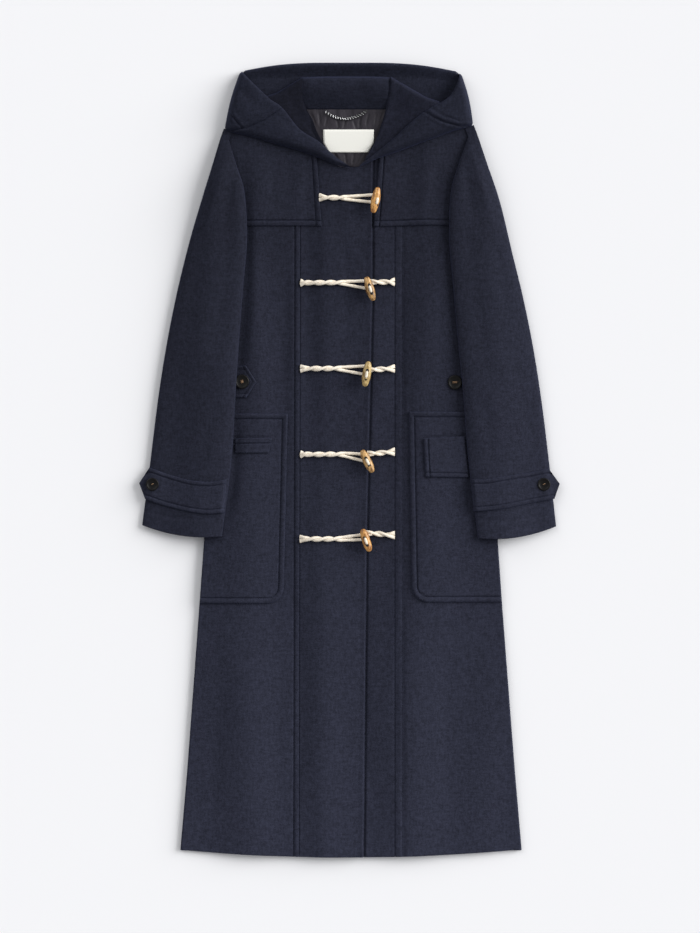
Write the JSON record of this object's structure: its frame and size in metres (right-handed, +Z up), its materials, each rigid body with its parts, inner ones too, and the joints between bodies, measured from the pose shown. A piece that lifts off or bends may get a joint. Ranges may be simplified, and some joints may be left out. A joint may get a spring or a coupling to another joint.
{
  "type": "duffle coat",
  "caption": "Long navy wool duffle coat with a hood, laid flat, fastened with wooden toggles and cream cords.",
  "frame": {"origin": "centre of the bounding box at its lowest plane, on the surface the coat lies on", "axes": "+Y along the coat from hem to hood, +Z up out of the front of the coat, +X across it towards the wearer's left sleeve"},
  "size_m": [0.672, 1.27, 0.0308],
  "materials": {
    "navy": "dull melton",
    "lining": "quilted, slight sheen",
    "label": "woven, bare",
    "cord": "twisted cotton",
    "toggle": "polished",
    "button": "gloss",
    "chain": "satin"
  },
  "bodies": {
    "root": {"back": "navy", "side_front_l": "navy", "side_front_r": "navy", "centre_front_l": "navy", "centre_front_r": "navy", "yoke_l": "navy", "yoke_r": "navy", "sleeve_l": "navy", "sleeve_r": "navy", "cuff_strap_l": "navy", "cuff_strap_r": "navy", "pocket_l": "navy", "pocket_r": "navy", "pocket_welt_l": "navy", "pocket_flap_r": "navy", "waist_tab_l": "navy", "hood_back": "navy", "hood_side_l": "navy", "hood_side_r": "navy", "hood_throat_l": "navy", "hood_throat_r": "navy", "hood_neck": "navy", "back_lining": "lining", "label": "label", "toggle_loop_1": "cord", "toggle_loop_2": "cord", "toggle_loop_3": "cord", "toggle_loop_4": "cord", "toggle_loop_5": "cord", "toggle_cord_2": "cord", "toggle_cord_3": "cord", "toggle_cord_4": "cord", "toggle_cord_5": "cord", "toggle_1": "toggle", "toggle_2": "toggle", "toggle_3": "toggle", "toggle_4": "toggle", "toggle_5": "toggle", "cuff_button_l": "button", "cuff_button_r": "button", "waist_button_l": "button", "waist_button_r": "button", "hanger_chain": "chain"}
  },
  "joints": []
}
